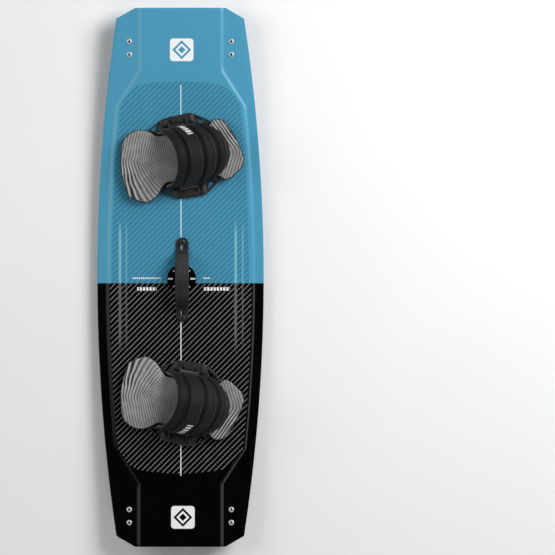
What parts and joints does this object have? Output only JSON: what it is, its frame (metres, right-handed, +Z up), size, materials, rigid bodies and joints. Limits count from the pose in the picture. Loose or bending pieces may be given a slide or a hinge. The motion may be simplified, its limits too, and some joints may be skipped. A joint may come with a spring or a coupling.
{
  "type": "kiteboard",
  "caption": "Twin-tip kiteboard with rocker and a raised deck platform, standing on four fins, with a grab handle and two swivelling strap bindings.",
  "frame": {"origin": "on the floor under the middle of the board outline, level with the fin tips", "axes": "+X across the board towards the toe side, +Y along the board towards the blue nose, +Z up from the deck"},
  "size_m": [0.415, 1.34, 0.1425],
  "materials": {
    "board_blue": "satin printed laminate",
    "board_black": "satin printed laminate",
    "core_wood": "bare light timber",
    "sidewall_black": "moulded, slightly rough",
    "fin_black": "satin glass-filled",
    "stainless": "bright machined",
    "insert_brass": "machined",
    "black_screw": "blackened",
    "webbing": "woven",
    "handle_grip": "fine matte texture",
    "plate_black": "glass-filled nylon, matte",
    "pad_grey": "closed-cell foam with cut contour lines",
    "strap_black": "moulded synthetic, soft sheen",
    "liner_black": "soft padded lining"
  },
  "bodies": {
    "board": {"core": "core_wood", "deck_laminate": "board_blue", "base_laminate": "board_black", "sidewall_left": "sidewall_black", "sidewall_right": "sidewall_black", "sidewall_nose": "sidewall_black", "sidewall_tail": "sidewall_black", "fin_nose_left": "fin_black", "fin_nose_right": "fin_black", "fin_tail_left": "fin_black", "fin_tail_right": "fin_black", "fin_screw_nose_left_inner": "stainless", "fin_screw_nose_left_outer": "stainless", "fin_screw_nose_right_inner": "stainless", "fin_screw_nose_right_outer": "stainless", "fin_screw_tail_left_inner": "stainless", "fin_screw_tail_left_outer": "stainless", "fin_screw_tail_right_inner": "stainless", "fin_screw_tail_right_outer": "stainless", "handle_strap": "webbing", "handle_grip": "handle_grip", "handle_nose_insert": "insert_brass", "handle_nose_washer": "stainless", "handle_nose_screw": "black_screw", "handle_tail_insert": "insert_brass", "handle_tail_washer": "stainless", "handle_tail_screw": "black_screw", "front_heel_insert": "insert_brass", "front_heel_washer": "stainless", "front_heel_screw": "black_screw", "front_toe_insert": "insert_brass", "front_toe_washer": "stainless", "front_toe_screw": "black_screw", "rear_heel_insert": "insert_brass", "rear_heel_washer": "stainless", "rear_heel_screw": "black_screw", "rear_toe_insert": "insert_brass", "rear_toe_washer": "stainless", "rear_toe_screw": "black_screw"},
    "front_binding": {"front_baseplate": "plate_black", "front_footpad": "pad_grey", "front_clamp_outer": "plate_black", "front_clamp_outer_screw_heel": "stainless", "front_clamp_outer_screw_toe": "stainless", "front_clamp_inner": "plate_black", "front_clamp_inner_screw_heel": "stainless", "front_clamp_inner_screw_toe": "stainless"},
    "front_strap": {"front_strap_cover": "strap_black", "front_strap_liner": "liner_black"},
    "rear_binding": {"rear_baseplate": "plate_black", "rear_footpad": "pad_grey", "rear_clamp_outer": "plate_black", "rear_clamp_outer_screw_heel": "stainless", "rear_clamp_outer_screw_toe": "stainless", "rear_clamp_inner": "plate_black", "rear_clamp_inner_screw_heel": "stainless", "rear_clamp_inner_screw_toe": "stainless"},
    "rear_strap": {"rear_strap_cover": "strap_black", "rear_strap_liner": "liner_black"}
  },
  "joints": [
    {"name": "front_binding_swivel", "type": "hinge", "parent": "board", "child": "front_binding", "pos_m": [0.0085, 0.303, 0.03715], "axis": [0, -0.0438, 0.999], "range_deg": [-25, 5]},
    {"name": "front_strap_open", "type": "hinge", "parent": "front_binding", "child": "front_strap", "pos_m": [0.02152, 0.22844, 0.05149], "axis": [0.9848, 0.1735, 0.0076], "range_deg": [0, 90]},
    {"name": "rear_binding_swivel", "type": "hinge", "parent": "board", "child": "rear_binding", "pos_m": [0.0085, -0.3144, 0.03766], "axis": [0, 0.0455, 0.999], "range_deg": [-5, 25]},
    {"name": "rear_strap_open", "type": "hinge", "parent": "rear_binding", "child": "rear_strap", "pos_m": [0.02152, -0.23982, 0.05188], "axis": [-0.9848, 0.1735, -0.0079], "range_deg": [0, 90]}
  ]
}
